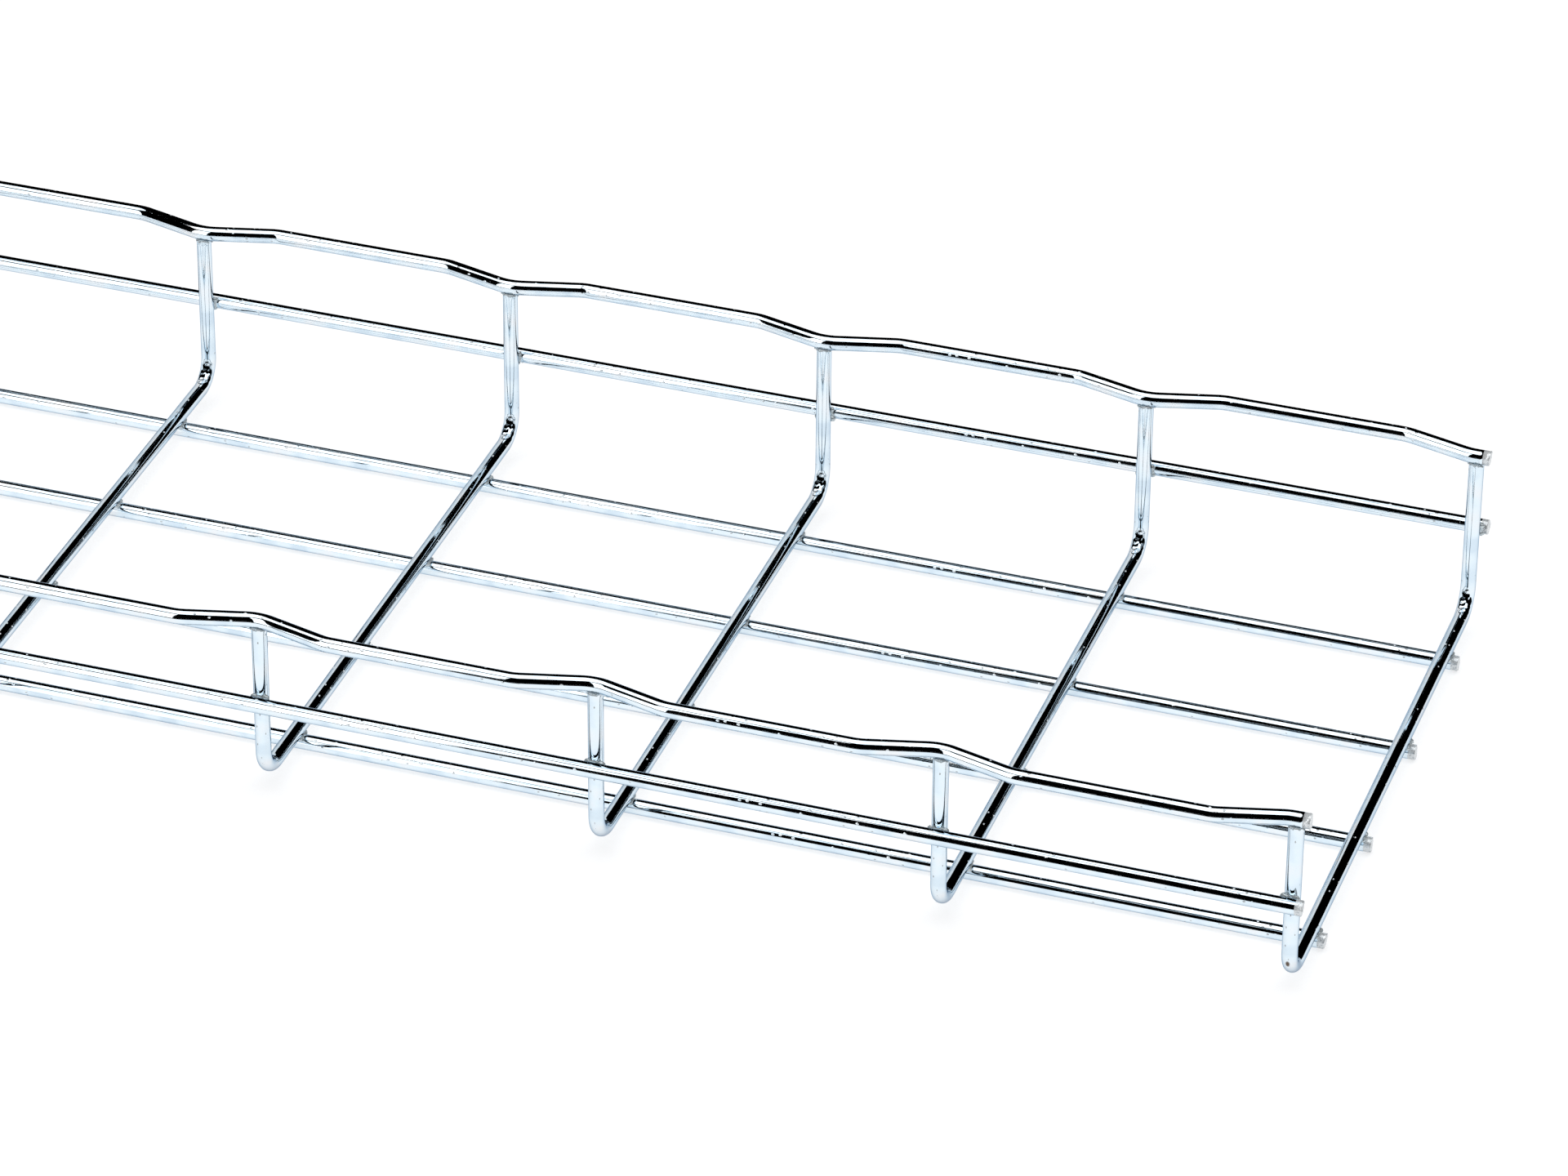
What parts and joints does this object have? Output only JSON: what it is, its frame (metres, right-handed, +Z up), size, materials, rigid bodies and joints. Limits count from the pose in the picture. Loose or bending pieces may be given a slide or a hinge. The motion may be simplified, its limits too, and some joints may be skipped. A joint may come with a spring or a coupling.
{
  "type": "cable tray",
  "caption": "Straight cut length of welded wire-mesh cable tray: open top, low side walls, kinked wire along the top of each wall, bright zinc-plated round steel wire.",
  "frame": {"origin": "middle of the rectangle that the tray stands on, level with the underside of the floor wires", "axes": "+X along the tray, +Y across it, +Z up, out of the open top"},
  "size_m": [0.608, 0.2152, 0.06],
  "materials": {
    "wire": "polished",
    "weld_bead": "gloss"
  },
  "bodies": {
    "root": {"front_edge_wire": "wire", "back_edge_wire": "wire", "front_side_wire": "wire", "back_side_wire": "wire", "floor_wire_1": "wire", "floor_wire_2": "wire", "floor_wire_3": "wire", "floor_wire_4": "wire", "cross_wire_1": "wire", "cross_wire_2": "wire", "cross_wire_3": "wire", "cross_wire_4": "wire", "cross_wire_5": "wire", "cross_wire_6": "wire", "cross_wire_7": "wire", "welds_1": "weld_bead", "welds_2": "weld_bead", "welds_3": "weld_bead", "welds_4": "weld_bead", "welds_5": "weld_bead", "welds_6": "weld_bead", "welds_7": "weld_bead"}
  },
  "joints": []
}
